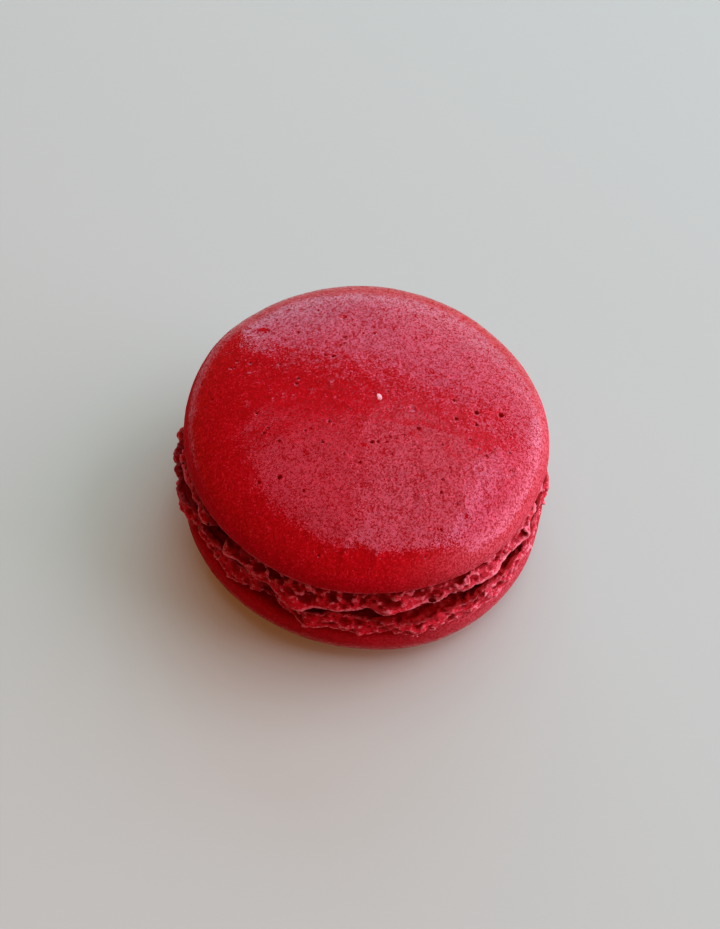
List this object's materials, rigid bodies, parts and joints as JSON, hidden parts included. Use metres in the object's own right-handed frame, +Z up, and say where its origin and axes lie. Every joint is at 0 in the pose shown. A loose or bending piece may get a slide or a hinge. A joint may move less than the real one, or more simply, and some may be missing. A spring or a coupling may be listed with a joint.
{
  "type": "macaron",
  "caption": "Round almond meringue sandwich biscuit: smooth domed shells with craggy feet and a thin dark fruit filling between their faces.",
  "frame": {"origin": "middle of the flat spot under the lower shell, on the surface that the macaron rests on", "axes": "+Z up through both shells, +X to the right of the side seen in the picture, -Y towards the front"},
  "size_m": [0.0466, 0.047, 0.0239],
  "materials": {
    "crust": "dry, matte, finely pored baked almond meringue",
    "filling": "soft, slightly glossy fruit filling"
  },
  "bodies": {
    "root": {"lower_shell": "crust", "filling": "filling", "upper_shell": "crust"}
  },
  "joints": []
}
